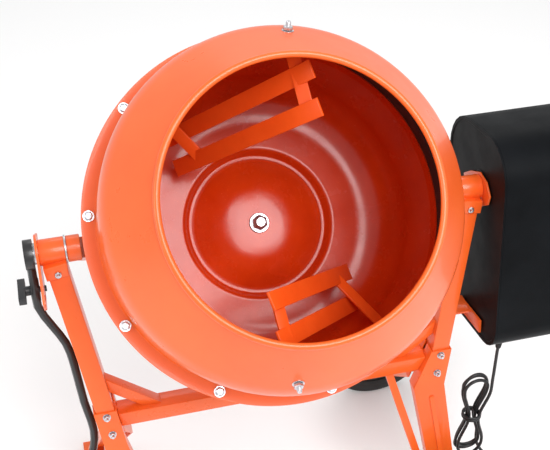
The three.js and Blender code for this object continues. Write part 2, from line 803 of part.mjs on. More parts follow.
// ---------------------------------------------------------------- drive
const backX = postSleeveEnd + gap + mountPlate + gap;
const housingAngle = degrees(housingLean);
// the housing's own directions: `a` to the rear, `b` up, both leaning
const housingPoint = (a, b) => [
  a * Math.cos(housingAngle) + b * Math.sin(housingAngle),
  -a * Math.sin(housingAngle) + b * Math.cos(housingAngle),
];

function housingOutline(inset) {
  const corners = [
    ...arc(housingFront + bottomCorner, housingBottom + bottomCorner, bottomCorner - inset, 180, 270, 5),
    ...arc(housingRear - bottomCorner, housingBottom + bottomCorner, bottomCorner - inset, 270, 360, 5),
    ...arc(housingRear - topCorner, housingTop - topCorner, topCorner - inset, 0, 90, 6),
    ...arc(housingFront + topCorner, housingTop - topCorner, topCorner - inset, 90, 180, 6),
  ];
  return corners.map(([a, b]) => housingPoint(a, b));
}

// Stands an outline given in machine Y and Z up at x and gives it a thickness towards +X.
function upright(outline, x, thickness, holes = []) {
  const turn = new THREE.Matrix4().makeBasis(vec(0, 1, 0), vec(0, 0, 1), vec(1, 0, 0)).setPosition(x, 0, 0);
  return moved(prism(outline, thickness, holes), turn);
}

const shifted = (points, [y, z]) => points.map(([a, b]) => [a + y, b + z]);

const [motorY, motorZ] = housingPoint(motorBack, motorDown);
const coverX = backX + backPlate + gap;
const beltX = backX + beltOffset;
const pulleyRatio = bigPulleyRadius / smallPulleyRadius;
const motorX = beltX + pulleyWidth / 2 + 8;

function pinion() {
  const half = (depth) => (toothShare * Math.PI * pinionRadius / pinionTeeth + depth * pressureSlope);
  const outline = [];
  for (let tooth = 0; tooth < pinionTeeth; tooth += 1) {
    const centre = degrees(180 - drumElevation) + (tooth * 2 * Math.PI) / pinionTeeth;
    [[dedendum, -1], [-addendum, -1], [-addendum, 1], [dedendum, 1]].forEach(([depth, hand]) => {
      const radius = pinionRadius - depth;
      const angle = centre + (hand * half(depth)) / Math.max(radius, pinionRadius);
      outline.push([radius * Math.cos(angle), radius * Math.sin(angle)]);
    });
  }
  const turn = new THREE.Matrix4().makeBasis(vec(0, 1, 0), vec(0, 0, 1), vec(1, 0, 0)).setPosition(ringInner + 2, 0, 0);
  return moved(prism(outline, ringOuter - ringInner - 3, [ring(shaftRadius + gap, 20)]), turn);
}

function pulley(radius, bore) {
  const half = pulleyWidth / 2;
  const grooved = radius - 1.5;
  return turned([
    [bore, -half],
    [radius + 2, -half],
    [radius + 2, -half + 2],
    [grooved, -beltWidth / 2 - 0.4],
    [grooved, beltWidth / 2 + 0.4],
    [radius + 2, half - 2],
    [radius + 2, half],
    [bore, half],
  ], radius > 30 ? 32 : 16);
}

const ontoX = (solid, x, y = 0, z = 0) =>
  moved(solid, new THREE.Matrix4().makeBasis(vec(0, 1, 0), vec(0, 0, 1), vec(1, 0, 0)).setPosition(x, y, z));

// A belt round both pulleys: the outline that wraps two circles, less the same outline `beltThick` smaller.
function belt() {
  const distance = Math.hypot(motorY, motorZ);
  const heading = Math.atan2(motorZ, motorY);
  const wrap = (grow) => {
    const big = bigPulleyRadius - 1.5 + gap + grow;
    const small = smallPulleyRadius - 1.5 + gap + grow;
    const lean = Math.acos((big - small) / distance);
    const around = (radius, cx, cy, from, to, steps) => Array.from({ length: steps + 1 }, (_, i) => {
      const angle = from + ((to - from) * i) / steps;
      return [cx + radius * Math.cos(angle), cy + radius * Math.sin(angle)];
    });
    return [
      ...around(big, 0, 0, heading + lean, heading + 2 * Math.PI - lean, 32),
      ...around(small, motorY, motorZ, heading - lean, heading + lean, 10),
    ];
  };
  return upright(wrap(beltThick), beltX - beltWidth / 2, beltWidth, [wrap(0.15)]);
}

function motor() {
  const body = rodX(motorX, motorX + motorLength, motorRadius, 32, 0, motorY, motorZ);
  const nose = rodX(motorX - 5, motorX + 1, 30, 24, 0, motorY, motorZ);
  return cut(join(body, nose), rodX(motorX - 6, motorX + 40, smallPulleyRadius - 4 + running, 16, 0, motorY, motorZ));
}

function motorPulley() {
  const shaft = rodX(beltX - pulleyWidth / 2, motorX + 36, smallPulleyRadius - 4, 16, 0, motorY, motorZ);
  return join(ontoX(pulley(smallPulleyRadius, 3), beltX, motorY, motorZ), shaft);
}

function motorCover() {
  const outer = upright(housingOutline(0), coverX, coverDepth);
  const inner = upright(housingOutline(coverWall), coverX - 1, coverDepth - coverWall + 1);
  const above = (rise) => glandSpot.clone().setZ(glandSpot.z + rise);
  const outlet = rod(above(-30), above(30), 6.6, 16);
  return cut(outer, inner, outlet);
}

// the strap that ties the housing's lower edge to the post
function housingStrap() {
  const [y0, z0] = housingPoint(54, housingBottom + 26);
  const [y1, z1] = housingPoint(-36, housingBottom + 26);
  const x = backX - gap;
  const middleX = x - strapThick / 2;
  const tab = bar(vec(middleX, y0, z0), vec(middleX, y1, z1), vec(1, 0, 0), strapThick, strapWidth);
  const [ya, za] = housingPoint(28, housingBottom + 26 + strapWidth / 2 - strapThick / 2);
  const postFace = postX + za * postSplay + postWidth / 2 + gap;
  const arm = bar(vec(postFace - 8, ya, za), vec(x - 1, ya, za), vec(0, 1, 0), 44, strapThick);
  return cut(join(tab, arm), postEnvelope(1, gap));
}

const glandRadius = 6;
const glandOutside = 36;
const [glandY, glandZ] = housingPoint(-30, housingBottom);
const glandSpot = vec(backX + 42, glandY, glandZ);

// a nut inside the housing's floor, a collar under it and a tapering sleeve round the lead
function strainRelief() {
  const bore = cordRadius + gap;
  const solid = turned([
    [bore, -glandOutside],
    [cordRadius + 1.6, -glandOutside],
    [glandRadius + 3, -8],
    [glandRadius + 4, -8],
    [glandRadius + 4, -3],
    [glandRadius, -3],
    [glandRadius, 10],
    [bore, 10],
  ], 16);
  return moved(solid, new THREE.Matrix4().setPosition(glandSpot.x, glandSpot.y, glandSpot.z));
}

const coverEnd = coverX + coverDepth;
const [switchY, switchZ] = housingPoint(24, -20);

function switchBox() {
  const x = coverEnd + gap;
  const body = upright(shifted(rectangle(58, 92), [switchY, switchZ]), x, 24);
  const wells = buttonHeights.map((rise) =>
    rodX(x + 8, x + 30, buttonRadius + running, 20, 0, switchY, switchZ + rise));
  return cut(body, ...wells);
}

const buttonHeights = [20, -20];
const buttonRadius = 12;
const buttonTravel = 4;

function button(rise) {
  const x = coverEnd + gap;
  return rodX(x + 8 + buttonTravel + gap, x + 24 + buttonTravel + 1, buttonRadius, 20, 0, switchY, switchZ + rise);
}

add('drive_pinion', pinion(), castIron);
add('drive_shaft', rodX(ringInner - 6, beltX + pulleyWidth / 2 + 12, shaftRadius, 20), steel);
add('drive_pulley', ontoX(pulley(bigPulleyRadius, shaftRadius + gap), beltX), castIron);
add('drive_belt', belt(), rubber);
add('motor', motor(), castIron);
add('motor_pulley', motorPulley(), steel);
add('housing_back_plate', upright(
  housingOutline(0), backX, backPlate, [ring(trunnionRadius + 4, 24)],
), blackPlastic);
add('motor_cover', motorCover(), blackPlastic);
add('housing_strap', housingStrap(), orangePaint);
add('strain_relief', strainRelief(), rubber);
add('switch_box', switchBox(), blackPlastic);
add('start_button', button(buttonHeights[0]), green);
add('stop_button', button(buttonHeights[1]), red);

// ---------------------------------------------------------------- set down on the ground
const part = new THREE.Group();
part.add(machine);
const box = new THREE.Box3().setFromObject(machine, true);
machine.position.set(-(box.min.x + box.max.x) / 2, -(box.min.y + box.max.y) / 2, -box.min.z);

// ---------------------------------------------------------------- mains lead, hanging in a tied hank
const hankPlug = [439, -84, -640];
const leadRoute = [
  [414.7, -79.2, -316], [414.7, -79.2, -330], [414.6, -79, -348], [413, -78.6, -366], [410, -78, -384],
  [406, -78, -400],
];
const tailRoute = [
  [402, -78, -574], [407, -78.4, -586], [416, -79.5, -598], [427, -81.5, -608], [435, -83.2, -619], [438.6, -84, -631],
  hankPlug,
];

function cordTube(route) {
  const path = new THREE.CatmullRomCurve3(route.map((point) => vec(...point)), false, 'centripetal');
  const section = new THREE.Shape(ring(cordRadius, 10).map(([x, y]) => new THREE.Vector2(x, y)));
  const steps = Math.ceil(path.getLength() / (5 * cordRadius));
  return toSolid(new THREE.ExtrudeGeometry(section, { steps, extrudePath: path, bevelEnabled: false }));
}

// an upright slab with round ends
function hank(grow) {
  const radius = hankWidth / 2 + grow;
  const outline = [
    ...arc(hankX, hankTop - hankWidth / 2, radius, 0, 180, 12),
    ...arc(hankX, hankBottom + hankWidth / 2, radius, 180, 360, 12),
  ];
  const depth = hankDepth + 2 * grow;
  const turn = new THREE.Matrix4().makeBasis(vec(1, 0, 0), vec(0, 0, 1), vec(0, -1, 0));
  return moved(prism(outline, depth), turn.setPosition(0, hankY + depth / 2, 0));
}

// a round-bodied plug, pins down
function plug() {
  const solid = turned([
    [0, 0],
    [cordRadius + 1.5, 0],
    [cordRadius + 2, -16],
    [17, -26],
    [19, -34],
    [19, -50],
    [0, -50],
  ], 20);
  const pins = [-9.5, 9.5].map((x) => rod(vec(x, 0, -48), vec(x, 0, -69), 2.4, 10));
  return placed(join(solid, ...pins), hankPlug[0], hankPlug[1], hankPlug[2] - gap);
}

add('cord_lead', cut(cordTube(leadRoute), hank(gap)), rubber);
add('cord_hank', hank(0), rubber);
add('cord_tail', cut(cordTube(tailRoute), hank(gap)), rubber);
add('plug', plug(), rubber);

export default part;
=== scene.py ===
import json
import math

import bmesh
import bpy
from mathutils import Matrix, Vector


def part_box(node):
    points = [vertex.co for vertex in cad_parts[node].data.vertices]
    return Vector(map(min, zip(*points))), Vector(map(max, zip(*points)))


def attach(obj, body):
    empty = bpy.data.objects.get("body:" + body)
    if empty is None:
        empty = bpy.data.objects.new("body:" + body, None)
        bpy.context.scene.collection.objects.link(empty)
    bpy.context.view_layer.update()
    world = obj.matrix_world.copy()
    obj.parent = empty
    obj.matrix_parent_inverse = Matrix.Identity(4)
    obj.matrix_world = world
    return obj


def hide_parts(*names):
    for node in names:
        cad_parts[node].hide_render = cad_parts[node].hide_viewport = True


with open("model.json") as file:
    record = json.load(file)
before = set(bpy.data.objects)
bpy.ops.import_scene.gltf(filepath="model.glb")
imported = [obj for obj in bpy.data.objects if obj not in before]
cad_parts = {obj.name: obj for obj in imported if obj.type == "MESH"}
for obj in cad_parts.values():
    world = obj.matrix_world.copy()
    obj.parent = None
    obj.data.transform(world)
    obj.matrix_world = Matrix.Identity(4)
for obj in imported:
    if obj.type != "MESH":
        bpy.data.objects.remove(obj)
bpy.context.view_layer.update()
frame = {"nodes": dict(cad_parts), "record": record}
joints = {joint["name"]: joint for joint in frame["record"]["behaviour"]["joints"]}
pivot = Vector(joints["tilt"]["pos_m"])  # where the tilt axis and the drum's axis cross
mouth = Vector(joints["drum_spin"]["axis"]).normalized()
across = Vector((1, 0, 0))
machinePlace = Matrix.Translation(pivot)
drumPlace = machinePlace @ Matrix((across, mouth.cross(across), mouth)).transposed().to_4x4()
ontoX = Matrix(((0, 0, 1), (1, 0, 0), (0, 1, 0))).to_4x4()  # what was turned about Z, laid along X
mm = 0.001


# camera, floor and light

camera = {"x": -0.3181, "y": -1.2859, "z": 0.9879, "pan": 14.38, "down": 37.11, "lens": 66.33}
light = {"sky": 0.78, "key": 44, "left": 20, "fill": 6, "back": 12}


def addCamera():
    data = bpy.data.cameras.new("camera")
    data.lens = camera["lens"]
    data.sensor_width = 36
    data.clip_start = 0.05
    eye = bpy.data.objects.new("camera", data)
    eye.location = pivot + Vector((camera["x"], camera["y"], camera["z"]))
    eye.rotation_euler = (math.radians(90 - camera["down"]), 0, math.radians(-camera["pan"]))
    bpy.context.scene.collection.objects.link(eye)
    bpy.context.scene.camera = eye


def addLamp(name, place, target, size, watts, colour=(1, 1, 1)):
    data = bpy.data.lights.new(name, "AREA")
    data.shape = "RECTANGLE"
    data.size, data.size_y = size
    data.energy = watts
    data.color = colour
    lamp = bpy.data.objects.new(name, data)
    lamp.location = place
    lamp.rotation_euler = (Vector(target) - Vector(place)).to_track_quat("-Z", "Y").to_euler()
    bpy.context.scene.collection.objects.link(lamp)


def addStudio():
    bpy.ops.mesh.primitive_plane_add(size=24, location=(0, 0, -0.0005))
    floor = bpy.context.object
    floor.name = "floor"
    pale = bpy.data.materials.new("paleFloor")
    pale.use_nodes = True
    shader = pale.node_tree.nodes["Principled BSDF"]
    shader.inputs["Base Color"].default_value = (0.97, 0.97, 0.97, 1)
    shader.inputs["Roughness"].default_value = 0.8
    floor.data.materials.append(pale)
    world = bpy.data.worlds.new("studio")
    world.use_nodes = True
    sky = world.node_tree.nodes["Background"]
    sky.inputs["Color"].default_value = (1, 1, 1, 1)
    sky.inputs["Strength"].default_value = light["sky"]
    bpy.context.scene.world = world
    addLamp("key", (0.28, -1.5, 2.3), (-0.08, 0, 0.75), (1.35, 1.3), light["key"])
    addLamp("leftWindow", (-2.6, -0.6, 1.9), (0, 0, 0.8), (1.2, 1.8), light["left"])
    addLamp("rightFill", (2.4, -1.8, 1.7), (0, 0, 0.7), (1.4, 1.4), light["fill"])
    addLamp("back", (0.5, 2.2, 2.6), (0, 0, 0.8), (2.0, 1.0), light["back"])
    bpy.context.scene.view_settings.view_transform = "Standard"


# working by hand

def v(x, y, z):
    return Vector((x, y, z)) * mm


def deselectAll():
    if bpy.context.object and bpy.context.object.mode != "OBJECT":
        bpy.ops.object.mode_set(mode="OBJECT")
    bpy.ops.object.select_all(action="DESELECT")


def activate(piece):
    deselectAll()
    piece.select_set(True)
    bpy.context.view_layer.objects.active = piece
    return piece


def selectPart(piece, kind, test):
    # opens the piece in edit mode with only the faces or edges that pass the test selected
    activate(piece)
    bpy.ops.object.mode_set(mode="EDIT")
    bpy.ops.mesh.select_mode(type=kind)
    bpy.ops.mesh.select_all(action="DESELECT")
    mesh = bmesh.from_edit_mesh(piece.data)
    mesh.normal_update()
    for item in mesh.faces if kind == "FACE" else mesh.edges:
        item.select = test(item)
    mesh.select_flush(True)
    bmesh.update_edit_mesh(piece.data)


def leaveEdit(piece):
    bpy.ops.object.mode_set(mode="OBJECT")
    return piece


def settle(piece, place=None):
    if place is not None:
        piece.matrix_world = place @ piece.matrix_world
    activate(piece)
    bpy.ops.object.transform_apply(location=True, rotation=True, scale=True)
    return piece


def smooth(piece, angle=32):
    activate(piece)
    bpy.ops.object.shade_smooth_by_angle(angle=math.radians(angle))
    return piece


def modify(piece, kind, **values):
    activate(piece)
    modifier = piece.modifiers.new(kind.lower(), kind)
    for name, value in values.items():
        setattr(modifier, name, value)
    bpy.ops.object.modifier_apply(modifier=modifier.name)
    return piece


def roundEdges(piece, width, segments=3, angle=32):
    return modify(piece, "BEVEL", width=width * mm, segments=segments, limit_method="ANGLE",
                  angle_limit=math.radians(angle), use_clamp_overlap=True)


def joined(name, parts):
    deselectAll()
    for part in parts:
        part.select_set(True)
    bpy.context.view_layer.objects.active = parts[0]
    if len(parts) > 1:
        bpy.ops.object.join()
    piece = bpy.context.object
    piece.name = piece.data.name = name
    return piece


def copied(piece, place):
    twin = piece.copy()
    twin.data = piece.data.copy()
    bpy.context.scene.collection.objects.link(twin)
    twin.matrix_world = place @ twin.matrix_world
    return twin


def discard(piece):
    bpy.data.objects.remove(piece)


def turned(name, outline, sides, closed=True, pole=False):
    # pulls a ring along an outline of [radius, height] in mm
    # closed ends where it began, pole ends on the axis
    deselectAll()
    ring = [(max(r, 0.02), t) for r, t in outline]
    if closed:
        ring.append(ring[0])
    r0, t0 = ring[0]
    bpy.ops.mesh.primitive_circle_add(vertices=sides, radius=r0 * mm, location=(0, 0, t0 * mm))
    piece = bpy.context.object
    bpy.ops.object.transform_apply(location=True, rotation=True, scale=True)
    bpy.ops.object.mode_set(mode="EDIT")
    bpy.ops.mesh.select_all(action="SELECT")
    if pole:
        bpy.ops.mesh.edge_face_add()
    for (ra, ta), (rb, tb) in zip(ring, ring[1:]):
        bpy.ops.mesh.extrude_region_move(TRANSFORM_OT_translate={"value": (0, 0, (tb - ta) * mm)})
        bpy.ops.transform.resize(value=(rb / ra, rb / ra, 1), center_override=(0, 0, tb * mm))
    if pole:
        bpy.ops.mesh.merge(type="CENTER")
    bpy.ops.mesh.select_all(action="SELECT")
    bpy.ops.mesh.remove_doubles(threshold=2e-6)
    bpy.ops.mesh.normals_make_consistent(inside=False)
    leaveEdit(piece)
    piece.name = piece.data.name = name
    return smooth(piece, 24)


def arc(cr, ct, radius, start, end, steps):
    angles = [math.radians(start + (end - start) * i / steps) for i in range(steps + 1)]
    return [(cr + radius * math.cos(a), ct + radius * math.sin(a)) for a in angles]


def block(name, size, edge=1.0, segments=3):
    # a rounded bar about the origin, sizes in mm
    deselectAll()
    bpy.ops.mesh.primitive_cube_add(size=1)
    piece = bpy.context.object
    bpy.ops.object.mode_set(mode="EDIT")
    bpy.ops.mesh.select_all(action="SELECT")
    bpy.ops.transform.resize(value=Vector(size) * mm, center_override=(0, 0, 0))
    bpy.ops.mesh.bevel(offset=edge * mm, segments=segments, affect="EDGES")
    leaveEdit(piece)
    piece.name = piece.data.name = name
    return smooth(piece)


def aim(start, end, side):
    # Z from start to end, X as near to side as it can be
    z = (end - start).normalized()
    x = (side - z * side.dot(z)).normalized()
    return Matrix.Translation((start + end) / 2) @ Matrix((x, z.cross(x), z)).transposed().to_4x4()


def flatBar(name, start, end, side, width, thick, edge):
    bar = block(name, (width, thick, (end - start).length / mm), edge)
    return settle(bar, aim(start, end, side))


def through(points, perSpan=8):
    # a smooth line through given points
    line = []
    last = len(points) - 1
    for i in range(last):
        a, b = points[max(i - 1, 0)], points[i]
        c, d = points[i + 1], points[min(i + 2, last)]
        for step in range(perSpan):
            t = step / perSpan
            line.append(0.5 * (2 * b + (c - a) * t + (2 * a - 5 * b + 4 * c - d) * t * t
                               + (3 * b - a - 3 * c + d) * t * t * t))
    return line + [points[-1]]


def lineCurve(name, points, radius=0.0, section=None):
    data = bpy.data.curves.new(name, "CURVE")
    data.dimensions = "3D"
    data.use_fill_caps = True
    spline = data.splines.new("POLY")
    spline.points.add(len(points) - 1)
    for point, place in zip(spline.points, points):
        point.co = (*place, 1)
    if section is None:
        data.bevel_depth = radius
        data.bevel_resolution = 5
    else:
        data.bevel_mode = "OBJECT"
        data.bevel_object = section
    curve = bpy.data.objects.new(name, data)
    bpy.context.scene.collection.objects.link(curve)
    return curve


def meshOf(curve, angle=40):
    activate(curve)
    bpy.ops.object.convert(target="MESH")
    piece = bpy.context.object
    bpy.ops.object.mode_set(mode="EDIT")
    bpy.ops.mesh.select_all(action="SELECT")
    bpy.ops.mesh.remove_doubles(threshold=1e-6)
    bpy.ops.mesh.normals_make_consistent(inside=False)
    leaveEdit(piece)
    return smooth(piece, angle)


def roundedSection(name, width, depth, corner):
    # the outline of a square tube, to pull along a curve
    centres = [(width / 2 - corner, depth / 2 - corner, 0), (corner - width / 2, depth / 2 - corner, 90),
               (corner - width / 2, corner - depth / 2, 180), (width / 2 - corner, corner - depth / 2, 270)]
    points = [p for x, y, a in centres for p in arc(x, y, corner, a, a + 90, 4)]
    section = lineCurve(name, [v(x, y, 0) for x, y in points])
    section.data.splines[0].use_cyclic_u = True
    return section


def fromNode(node, edge=1.0, segments=3, angle=30, flat=1.5):
    # a CAD part with its triangles merged into faces and its edges rounded, in the CAD part's place
    source = frame["nodes"][node]
    piece = source.copy()
    piece.data = source.data.copy()
    piece.parent = None
    piece.matrix_world = Matrix.Identity(4)
    bpy.context.scene.collection.objects.link(piece)
    piece.name = piece.data.name = node + "_finished"
    piece.data.materials.clear()
    activate(piece)
    bpy.ops.object.mode_set(mode="EDIT")
    bpy.ops.mesh.select_all(action="SELECT")
    bpy.ops.mesh.remove_doubles(threshold=2e-5)
    bpy.ops.mesh.dissolve_limited(angle_limit=math.radians(flat))
    leaveEdit(piece)
    if edge:
        roundEdges(piece, edge, segments, angle)
    return smooth(piece, 35)


def dress(piece, material, body, nodes=()):
    piece.data.materials.clear()
    piece.data.materials.append(material)
    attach(piece, body)
    if nodes:
        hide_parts(*nodes)
    return piece


# finishes

def makeGroup(name, inputs, outputs):
    group = bpy.data.node_groups.new(name, "ShaderNodeTree")
    for label, kind in inputs:
        group.interface.new_socket(label, in_out="INPUT", socket_type="NodeSocket" + kind)
    for label, kind in outputs:
        group.interface.new_socket(label, in_out="OUTPUT", socket_type="NodeSocket" + kind)
    return group, group.nodes.new("NodeGroupInput"), group.nodes.new("NodeGroupOutput")


def mottleGroup():
    # slow and fine variation together, mapped between Low and High
    group, given, result = makeGroup(
        "mottle", [("Scale", "Float"), ("Low", "Float"), ("High", "Float")], [("Value", "Float")])
    link = group.links.new
    place = group.nodes.new("ShaderNodeTexCoord")
    slow = group.nodes.new("ShaderNodeTexNoise")
    slow.inputs["Detail"].default_value = 7
    slow.inputs["Roughness"].default_value = 0.62
    spread = group.nodes.new("ShaderNodeMapRange")
    spread.inputs["From Min"].default_value = 0.34
    spread.inputs["From Max"].default_value = 0.66
    link(place.outputs["Object"], slow.inputs["Vector"])
    link(given.outputs["Scale"], slow.inputs["Scale"])
    link(slow.outputs["Fac"], spread.inputs["Value"])
    link(given.outputs["Low"], spread.inputs["To Min"])
    link(given.outputs["High"], spread.inputs["To Max"])
    link(spread.outputs["Result"], result.inputs["Value"])
    return group


def glintGroup():
    # small sparse dots for painted glints, 0 between them and 1 on them
    group, given, result = makeGroup(
        "glints", [("Scale", "Float"), ("Size", "Float"), ("Share", "Float")], [("Mask", "Float")])
    link = group.links.new
    place = group.nodes.new("ShaderNodeTexCoord")
    cells = group.nodes.new("ShaderNodeTexVoronoi")
    cells.feature = "F1"
    near = group.nodes.new("ShaderNodeMath")
    near.operation = "LESS_THAN"
    chosen = group.nodes.new("ShaderNodeMath")
    chosen.operation = "LESS_THAN"
    red = group.nodes.new("ShaderNodeSeparateColor")
    both = group.nodes.new("ShaderNodeMath")
    both.operation = "MULTIPLY"
    link(place.outputs["Object"], cells.inputs["Vector"])
    link(given.outputs["Scale"], cells.inputs["Scale"])
    link(cells.outputs["Distance"], near.inputs[0])
    link(given.outputs["Size"], near.inputs[1])
    link(cells.outputs["Color"], red.inputs["Color"])
    link(red.outputs["Red"], chosen.inputs[0])
    link(given.outputs["Share"], chosen.inputs[1])
    link(near.outputs["Value"], both.inputs[0])
    link(chosen.outputs["Value"], both.inputs[1])
    link(both.outputs["Value"], result.inputs["Mask"])
    return group


def grainGroup():
    # a height for moulded plastic, cast iron and paint
    group, given, result = makeGroup("grain", [("Scale", "Float"), ("Soft", "Float")], [("Height", "Float")])
    link = group.links.new
    place = group.nodes.new("ShaderNodeTexCoord")
    fine = group.nodes.new("ShaderNodeTexNoise")
    fine.inputs["Detail"].default_value = 3
    link(place.outputs["Object"], fine.inputs["Vector"])
    link(given.outputs["Scale"], fine.inputs["Scale"])
    link(given.outputs["Soft"], fine.inputs["Roughness"])
    link(fine.outputs["Fac"], result.inputs["Height"])
    return group


effects = {}


def effect(tree, name, **values):
    if name not in effects:
        effects[name] = {"mottle": mottleGroup, "glints": glintGroup, "grain": grainGroup}[name]()
    node = tree.nodes.new("ShaderNodeGroup")
    node.node_tree = effects[name]
    for label, value in values.items():
        node.inputs[label].default_value = value
    return node


def finish(name, dark, pale, rough, patch=6.0, metallic=0.0, coat=0.0, coatRough=0.08, grain=None,
           glints=None, specular=0.5):
    # dark and pale are the two ends of the colour's variation, rough the two ends of the roughness
    material = bpy.data.materials.new(name)
    material.use_nodes = True
    tree = material.node_tree
    link = tree.links.new
    shader = tree.nodes["Principled BSDF"]
    shader.inputs["Metallic"].default_value = metallic
    shader.inputs["Coat Weight"].default_value = coat
    shader.inputs["Coat Roughness"].default_value = coatRough
    shader.inputs["Specular IOR Level"].default_value = specular
    shade = effect(tree, "mottle", Scale=patch, Low=0.0, High=1.0)
    blend = tree.nodes.new("ShaderNodeMix")
    blend.data_type = "RGBA"
    blend.inputs["A"].default_value = (*dark, 1)
    blend.inputs["B"].default_value = (*pale, 1)
    link(shade.outputs["Value"], blend.inputs["Factor"])
    colour = blend.outputs["Result"]
    gloss = effect(tree, "mottle", Scale=patch * 2.7, Low=rough[0], High=rough[1])
    link(gloss.outputs["Value"], shader.inputs["Roughness"])
    # lighter dots mixed into the colour: painted glints
    if glints:
        glintMask = effect(tree, "glints", Scale=glints["scale"], Size=glints["size"], Share=glints["share"])
        over = tree.nodes.new("ShaderNodeMix")
        over.data_type = "RGBA"
        over.inputs["B"].default_value = (*glints["colour"], 1)
        link(glintMask.outputs["Mask"], over.inputs["Factor"])
        link(colour, over.inputs["A"])
        colour = over.outputs["Result"]
    link(colour, shader.inputs["Base Color"])
    if grain:
        height = effect(tree, "grain", Scale=grain["scale"], Soft=grain["soft"])
        bump = tree.nodes.new("ShaderNodeBump")
        bump.inputs["Strength"].default_value = grain["strength"]
        bump.inputs["Distance"].default_value = grain["depth"] * mm
        link(height.outputs["Height"], bump.inputs["Height"])
        link(bump.outputs["Normal"], shader.inputs["Normal"])
    return material


peel = {"scale": 260, "soft": 0.35, "strength": 0.25, "depth": 0.12}
orangePaint = finish("orangePaint", (0.78, 0.105, 0.013), (0.85, 0.128, 0.018), (0.27, 0.35), 5, coat=0.2,
                     grain=peel, specular=0.4)
# the orange paint darkened and reddened for the drum's inside: painted shade
shadedDrumPaint = finish(
    "shadedDrumPaint", (0.52, 0.028, 0.001), (0.64, 0.044, 0.002), (0.2, 0.3), 7, coat=0.1,
    grain=peel, specular=0.4,
    # lighter orange specks on the shaded inside: painted glints
    glints={"scale": 420, "size": 0.24, "share": 0.10, "colour": (0.70, 0.09, 0.01)})
bladePaint = finish("bladePaint", (0.74, 0.075, 0.007), (0.82, 0.098, 0.011), (0.3, 0.38), 9, coat=0.1,
                    grain=peel, specular=0.35)
zinc = finish("zincPlate", (0.50, 0.52, 0.56), (0.68, 0.69, 0.72), (0.22, 0.42), 60, metallic=1.0,
              grain={"scale": 900, "soft": 0.5, "strength": 0.15, "depth": 0.05})
brightSteel = finish("turnedSteel", (0.50, 0.51, 0.53), (0.60, 0.61, 0.63), (0.2, 0.34), 40, metallic=1.0,
                     grain={"scale": 700, "soft": 0.6, "strength": 0.12, "depth": 0.05})
castIron = finish("castIron", (0.055, 0.055, 0.058), (0.10, 0.10, 0.105), (0.5, 0.7), 30, metallic=0.6,
                  grain={"scale": 420, "soft": 0.6, "strength": 0.7, "depth": 0.35})
blackPaint = finish("blackSheet", (0.003, 0.0035, 0.0042), (0.006, 0.007, 0.0085), (0.4, 0.5), 8, grain=peel,
                    specular=0.06)
blackPlastic = finish("blackPlastic", (0.012, 0.013, 0.015), (0.02, 0.021, 0.024), (0.32, 0.42), 12,
                      grain={"scale": 900, "soft": 0.5, "strength": 0.35, "depth": 0.08})
blackBar = finish("blackBar", (0.007, 0.007, 0.008), (0.013, 0.013, 0.014), (0.3, 0.42), 20, coat=0.2,
                  grain=peel)
rubber = finish("rubber", (0.009, 0.009, 0.0095), (0.016, 0.016, 0.017), (0.5, 0.66), 18,
                grain={"scale": 800, "soft": 0.5, "strength": 0.3, "depth": 0.08})
tyreRubber = finish("tyreRubber", (0.010, 0.010, 0.010), (0.026, 0.025, 0.024), (0.66, 0.85), 14,
                    grain={"scale": 520, "soft": 0.6, "strength": 0.5, "depth": 0.15})
cordSkin = finish("cordSkin", (0.008, 0.008, 0.009), (0.014, 0.014, 0.015), (0.36, 0.5), 40,
                  grain={"scale": 1200, "soft": 0.5, "strength": 0.2, "depth": 0.04})
greenCap = finish("greenCap", (0.015, 0.20, 0.045), (0.02, 0.26, 0.06), (0.26, 0.34), 40, coat=0.2)
redCap = finish("redCap", (0.42, 0.014, 0.012), (0.5, 0.02, 0.016), (0.26, 0.34), 40, coat=0.2)

addCamera()
addStudio()
print("studio ready")


# mains lead, hanging in a tied hank

lead = {
    "diameter": 6.2, "length": 1.75, "strands": 4, "hankX": 384, "hankY": -78, "top": -391, "bottom": -585,
    "loop": 24, "waist": 8, "spread": 23, "exitDrop": -16,
    "from": [(414.7, -79.2, -300), (414.7, -79.2, -330), (414.4, -80.4, -350), (413, -83.6, -370),
             (411, -87.6, -392)],
    "to": [(409.6, -67, -576), (412.6, -69, -590), (419, -73, -604), (428, -78, -616), (435, -82, -627),
           (438.6, -84, -638), (439, -84, -652)],
}


def hankTurns():
    # down the right strand, round the bottom, up the left one and over the top, pinched at the middle
    radius = lead["loop"]
    high, low = lead["top"] - radius, lead["bottom"] + radius
    steps = 12
    loop = []

    def strand(hand, share):
        return hand * (radius - (radius - lead["waist"]) * 0.5 * (1 - math.cos(2 * math.pi * share)))

    for turn in range(lead["strands"]):
        for i in range(steps):
            loop.append((strand(1, i / steps), high - (high - low) * i / steps))
        if turn == lead["strands"] - 1:
            break
        for i in range(steps):
            a = math.pi * i / steps
            loop.append((radius * math.cos(a), low - (radius + 9 * math.cos(2.1 * turn)) * math.sin(a)))
        for i in range(steps):
            loop.append((strand(-1, i / steps), low + (high - low) * i / steps))
        for i in range(steps):
            a = math.pi * i / steps
            loop.append((-radius * math.cos(a), high + (radius + 9 * math.sin(1.7 * turn)) * math.sin(a)))
    return loop


def cordLine():
    loop = hankTurns()
    points = [v(*point) for point in lead["from"]]
    for i, (x, z) in enumerate(loop):
        share = i / (len(loop) - 1)
        sway = 2.5 * math.cos(1.9 * share * lead["strands"])
        points.append(v(lead["hankX"] + x + sway, lead["hankY"] - lead["spread"] * (0.5 - share), z))
    points += [v(*point) for point in lead["to"]]
    return [pivot + point for point in through(points, 3)]


def makeTie():
    # a strap wound twice round the hank's waist
    x, y = lead["hankX"], lead["hankY"]
    middle = (lead["top"] + lead["bottom"]) / 2
    width, depth = lead["waist"] + 8.5, lead["spread"] / 2 + 5.2
    points = []
    for i in range(73):
        a = math.radians(10 * i)
        points.append(pivot + v(x + width * math.cos(a), y + depth * math.sin(a), middle - 6 + 12 * i / 72))
    tie = lineCurve("cord_tie", points, 2.6 * mm)
    return meshOf(tie)


